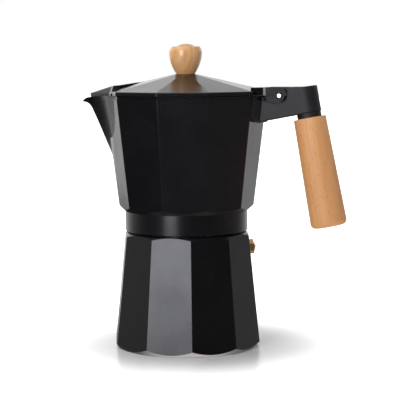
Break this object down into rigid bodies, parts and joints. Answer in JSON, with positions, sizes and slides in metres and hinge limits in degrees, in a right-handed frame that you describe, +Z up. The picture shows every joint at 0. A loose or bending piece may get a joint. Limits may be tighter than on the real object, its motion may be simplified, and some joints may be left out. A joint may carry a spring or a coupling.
{
  "type": "moka pot",
  "caption": "Ten-sided stovetop moka pot with a screwed-on upper chamber, hinged lid with beak spout, wooden knob and wooden side grip.",
  "frame": {"origin": "centre of the boiler's underside, on the pot's axis", "axes": "+Z up along the pot's axis, +X towards the handle, spout towards -X"},
  "size_m": [0.1993, 0.1184, 0.2185],
  "materials": {
    "painted_casting": "satin black paint on cast aluminium, bare inside",
    "bare_aluminium": "brushed",
    "brass": "turned",
    "copper": "satin",
    "steel": "bright",
    "silicone": "matte",
    "black_bracket": "fine matte texture",
    "beech": "oiled beech"
  },
  "bodies": {
    "boiler": {"boiler": "painted_casting", "valve_body": "brass", "valve_washer": "copper", "valve_seat": "brass"},
    "valve_plunger": {"valve_plunger": "brass", "valve_spring": "steel"},
    "funnel": {"funnel": "bare_aluminium", "funnel_stem": "bare_aluminium", "funnel_strainer": "bare_aluminium"},
    "gasket": {"gasket": "silicone"},
    "filter_plate": {"filter_plate": "bare_aluminium"},
    "upper_chamber": {"upper_chamber": "painted_casting", "coffee_column": "bare_aluminium", "handle_bracket": "black_bracket", "bracket_screw": "steel", "bracket_washer": "steel", "hinge_pin": "steel", "handle_grip": "beech", "grip_washer": "steel", "grip_bolt": "steel"},
    "lid": {"lid": "painted_casting", "lid_knob": "beech", "knob_insert": "brass", "knob_screw": "steel", "knob_washer": "steel"}
  },
  "joints": [
    {"name": "top_lift", "type": "slide", "parent": "boiler", "child": "gasket", "axis": [0, 0, 1], "range_m": [0, 0.19]},
    {"name": "thread_rise", "type": "slide", "parent": "gasket", "child": "filter_plate", "axis": [0, 0, 1], "range_m": [0, 0.0061]},
    {"name": "unscrew", "type": "hinge", "parent": "filter_plate", "child": "upper_chamber", "pos_m": [0, 0, 0.09], "axis": [0, 0, 1], "range_deg": [0, 720]},
    {"name": "lid_hinge", "type": "hinge", "parent": "upper_chamber", "child": "lid", "pos_m": [0.0725, 0, 0.1816], "axis": [0, 1, 0], "range_deg": [0, 92]},
    {"name": "funnel_lift", "type": "slide", "parent": "boiler", "child": "funnel", "axis": [0, 0, 1], "range_m": [0, 0.096]},
    {"name": "valve_pop", "type": "slide", "parent": "boiler", "child": "valve_plunger", "axis": [0.9111, 0.4007, 0.0961], "range_m": [0, 0.001], "stiffness_N_per_m": 600, "springref_m": -0.002}
  ],
  "couplings": [
    {"joint": "thread_rise", "follows": "unscrew", "m_per_rad": 0.00047746},
    {"joint": "funnel_lift", "follows": "top_lift", "ratio": 0.5}
  ]
}
